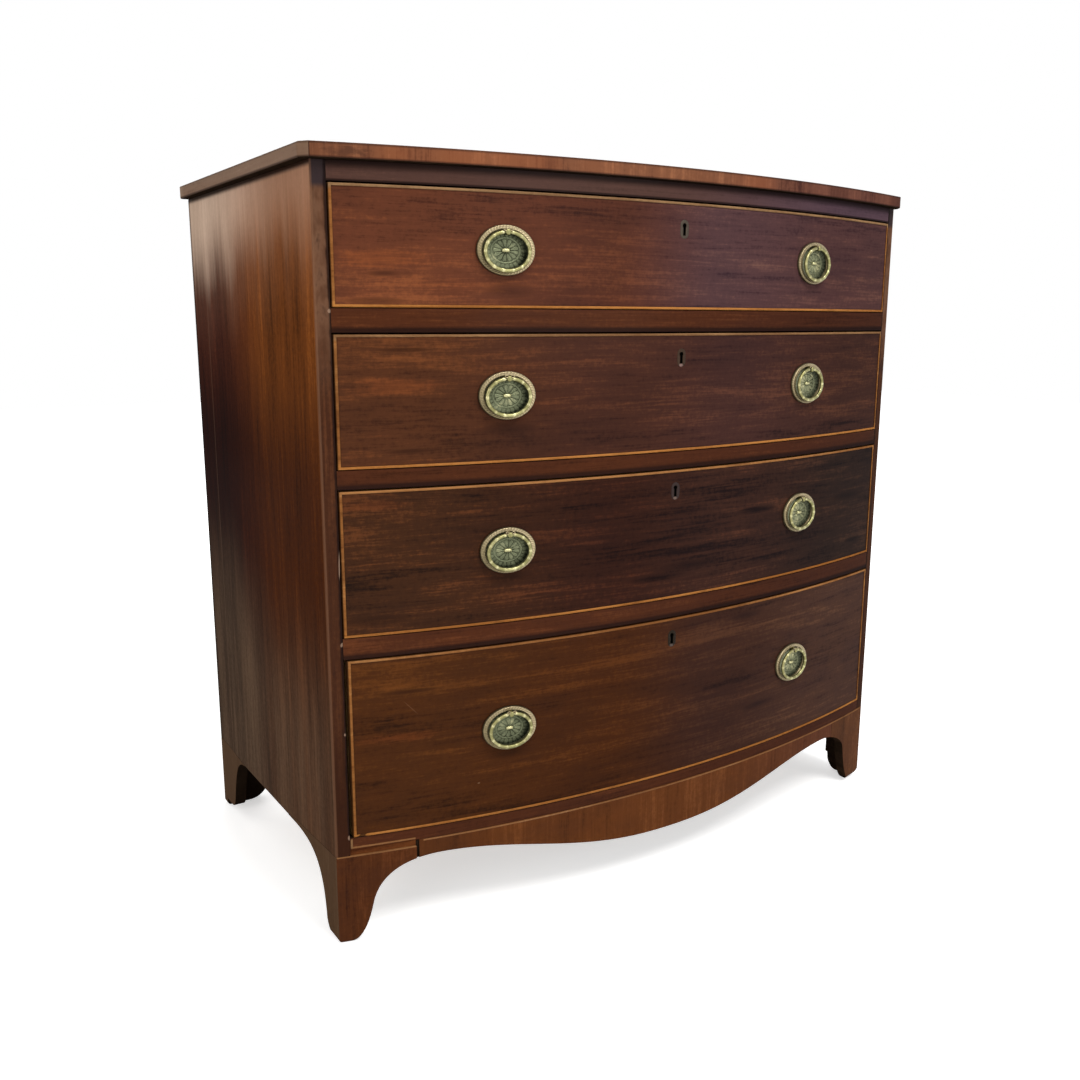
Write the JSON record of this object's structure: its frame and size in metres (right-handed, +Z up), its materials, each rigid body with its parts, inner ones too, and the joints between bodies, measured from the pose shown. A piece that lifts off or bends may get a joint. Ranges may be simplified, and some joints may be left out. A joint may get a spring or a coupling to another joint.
{
  "type": "bow front chest of drawers",
  "caption": "Bow front chest of long graduated drawers on bracket feet with a shaped apron, beaded drawer fronts and oval ring handles that swing.",
  "frame": {"origin": "on the floor, under the middle of the whole object's box", "axes": "+Z up, the bowed front faces -Y, +X to the right seen from the front"},
  "size_m": [0.974, 0.5554, 0.955],
  "materials": {
    "case_mahogany": "old French polished mahogany, red-brown with vertical grain",
    "top_mahogany": "old polished mahogany, lighter cross-grained edge",
    "rail_mahogany": "dark polished mahogany veneer",
    "base_mahogany": "reddish polished mahogany veneer",
    "drawer_mahogany": "polished figured mahogany veneer with dark streaks",
    "boxwood": "boxwood bead, worn polish",
    "pine": "bare aged pine",
    "brass": "aged cast brass with dark recesses",
    "dull_brass": "dull tarnished brass"
  },
  "bodies": {
    "carcase": {"top_board": "top_mahogany", "side_left": "case_mahogany", "side_right": "case_mahogany", "back_board": "pine", "bottom_board": "pine", "top_back_rail": "pine", "top_rail": "rail_mahogany", "divider_rail_1": "rail_mahogany", "divider_rail_2": "rail_mahogany", "divider_rail_3": "rail_mahogany", "bottom_rail": "base_mahogany", "apron": "base_mahogany", "foot_front_left": "base_mahogany", "foot_front_right": "base_mahogany", "foot_rear_left": "base_mahogany", "foot_rear_right": "base_mahogany"},
    "drawer_1": {"drawer_1_front": "drawer_mahogany", "drawer_1_bead": "boxwood", "drawer_1_side_left": "pine", "drawer_1_side_right": "pine", "drawer_1_back": "pine", "drawer_1_bottom": "pine", "drawer_1_lock": "dull_brass", "drawer_1_plate_left": "brass", "drawer_1_plate_right": "brass"},
    "drawer_1_ring_left": {"drawer_1_ring_left": "brass"},
    "drawer_1_ring_right": {"drawer_1_ring_right": "brass"},
    "drawer_2": {"drawer_2_front": "drawer_mahogany", "drawer_2_bead": "boxwood", "drawer_2_side_left": "pine", "drawer_2_side_right": "pine", "drawer_2_back": "pine", "drawer_2_bottom": "pine", "drawer_2_lock": "dull_brass", "drawer_2_plate_left": "brass", "drawer_2_plate_right": "brass"},
    "drawer_2_ring_left": {"drawer_2_ring_left": "brass"},
    "drawer_2_ring_right": {"drawer_2_ring_right": "brass"},
    "drawer_3": {"drawer_3_front": "drawer_mahogany", "drawer_3_bead": "boxwood", "drawer_3_side_left": "pine", "drawer_3_side_right": "pine", "drawer_3_back": "pine", "drawer_3_bottom": "pine", "drawer_3_lock": "dull_brass", "drawer_3_plate_left": "brass", "drawer_3_plate_right": "brass"},
    "drawer_3_ring_left": {"drawer_3_ring_left": "brass"},
    "drawer_3_ring_right": {"drawer_3_ring_right": "brass"},
    "drawer_4": {"drawer_4_front": "drawer_mahogany", "drawer_4_bead": "boxwood", "drawer_4_side_left": "pine", "drawer_4_side_right": "pine", "drawer_4_back": "pine", "drawer_4_bottom": "pine", "drawer_4_lock": "dull_brass", "drawer_4_plate_left": "brass", "drawer_4_plate_right": "brass"},
    "drawer_4_ring_left": {"drawer_4_ring_left": "brass"},
    "drawer_4_ring_right": {"drawer_4_ring_right": "brass"}
  },
  "joints": [
    {"name": "drawer_1_slide", "type": "slide", "parent": "carcase", "child": "drawer_1", "axis": [0, -1, 0], "range_m": [0, 0.35]},
    {"name": "drawer_1_ring_left_swing", "type": "hinge", "parent": "drawer_1", "child": "drawer_1_ring_left", "pos_m": [-0.25746, -0.25961, 0.8674], "axis": [-0.9891, 0.1471, 0], "range_deg": [0, 150]},
    {"name": "drawer_1_ring_right_swing", "type": "hinge", "parent": "drawer_1", "child": "drawer_1_ring_right", "pos_m": [0.25405, -0.26011, 0.8674], "axis": [-0.9894, -0.1452, 0], "range_deg": [0, 150]},
    {"name": "drawer_2_slide", "type": "slide", "parent": "carcase", "child": "drawer_2", "axis": [0, -1, 0], "range_m": [0, 0.35]},
    {"name": "drawer_2_ring_left_swing", "type": "hinge", "parent": "drawer_2", "child": "drawer_2_ring_left", "pos_m": [-0.25666, -0.25973, 0.6991], "axis": [-0.9892, 0.1466, 0], "range_deg": [0, 150]},
    {"name": "drawer_2_ring_right_swing", "type": "hinge", "parent": "drawer_2", "child": "drawer_2_ring_right", "pos_m": [0.25204, -0.26041, 0.6991], "axis": [-0.9896, -0.144, 0], "range_deg": [0, 150]},
    {"name": "drawer_3_slide", "type": "slide", "parent": "carcase", "child": "drawer_3", "axis": [0, -1, 0], "range_m": [0, 0.35]},
    {"name": "drawer_3_ring_left_swing", "type": "hinge", "parent": "drawer_3", "child": "drawer_3_ring_left", "pos_m": [-0.25656, -0.25974, 0.50965], "axis": [-0.9892, 0.1466, 0], "range_deg": [0, 150]},
    {"name": "drawer_3_ring_right_swing", "type": "hinge", "parent": "drawer_3", "child": "drawer_3_ring_right", "pos_m": [0.24812, -0.26097, 0.50965], "axis": [-0.9899, -0.1418, 0], "range_deg": [0, 150]},
    {"name": "drawer_4_slide", "type": "slide", "parent": "carcase", "child": "drawer_4", "axis": [0, -1, 0], "range_m": [0, 0.35]},
    {"name": "drawer_4_ring_left_swing", "type": "hinge", "parent": "drawer_4", "child": "drawer_4_ring_left", "pos_m": [-0.25545, -0.25991, 0.2776], "axis": [-0.9893, 0.146, 0], "range_deg": [0, 150]},
    {"name": "drawer_4_ring_right_swing", "type": "hinge", "parent": "drawer_4", "child": "drawer_4_ring_right", "pos_m": [0.24722, -0.2611, 0.2776], "axis": [-0.99, -0.1413, 0], "range_deg": [0, 150]}
  ]
}
